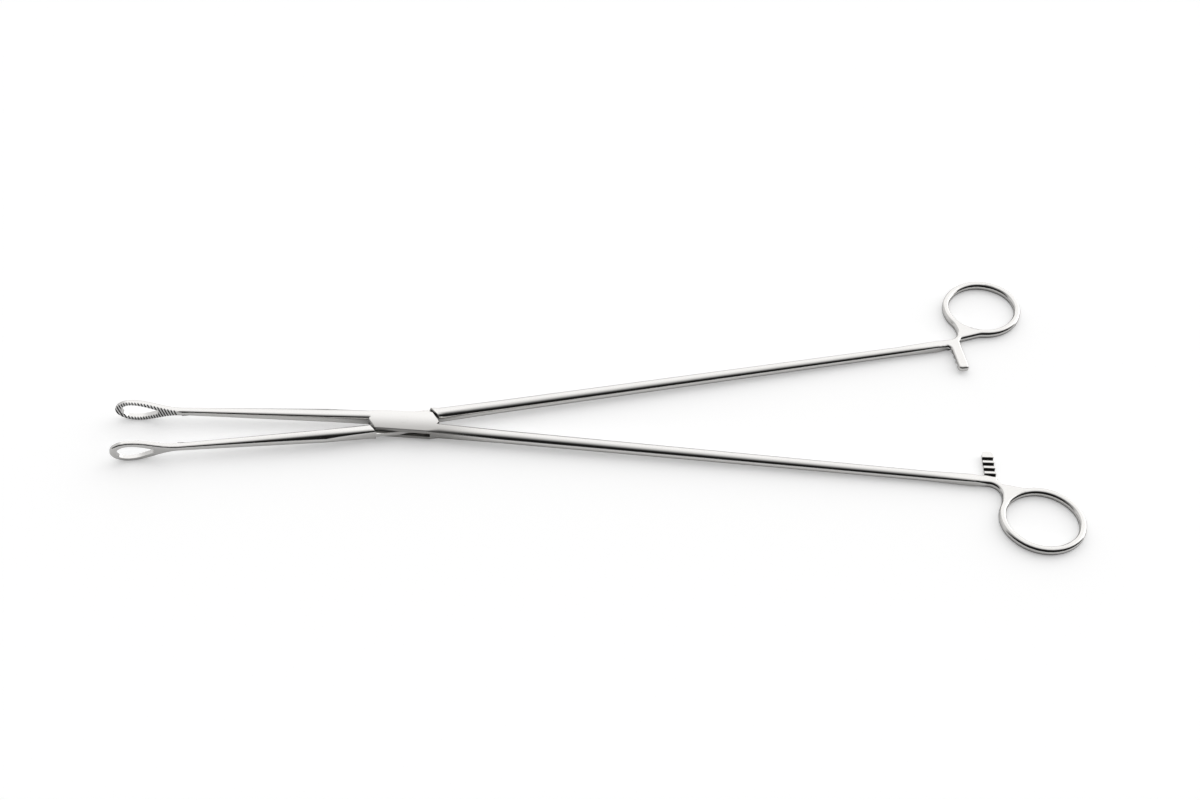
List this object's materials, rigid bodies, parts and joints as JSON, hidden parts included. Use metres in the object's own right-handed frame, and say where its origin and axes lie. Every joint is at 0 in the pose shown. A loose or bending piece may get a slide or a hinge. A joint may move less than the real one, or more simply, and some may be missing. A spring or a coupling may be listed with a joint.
{
  "type": "sponge holding forceps",
  "caption": "Long straight sponge holding forceps: slotted box lock, serrated open oval jaws, finger rings and an interlocking ratchet, all in stainless steel",
  "frame": {"origin": "on the axis of the lock's pin, in the plane of the lock's flat underside", "axes": "+X from the lock towards the finger rings, +Y towards the ring of the half that passes through the lock, +Z along the pin, out of the lock's flat top"},
  "size_m": [0.3423, 0.1296, 0.0096],
  "materials": {
    "steel": "satin polished stainless steel"
  },
  "bodies": {
    "female_arm": {"female_half": "steel", "lock_pin": "steel"},
    "male_arm": {"male_half": "steel"}
  },
  "joints": [
    {"name": "lock_pivot", "type": "hinge", "parent": "female_arm", "child": "male_arm", "pos_m": [0, 0, 0], "axis": [0, 0, 1], "range_deg": [-9.8, 40]}
  ]
}
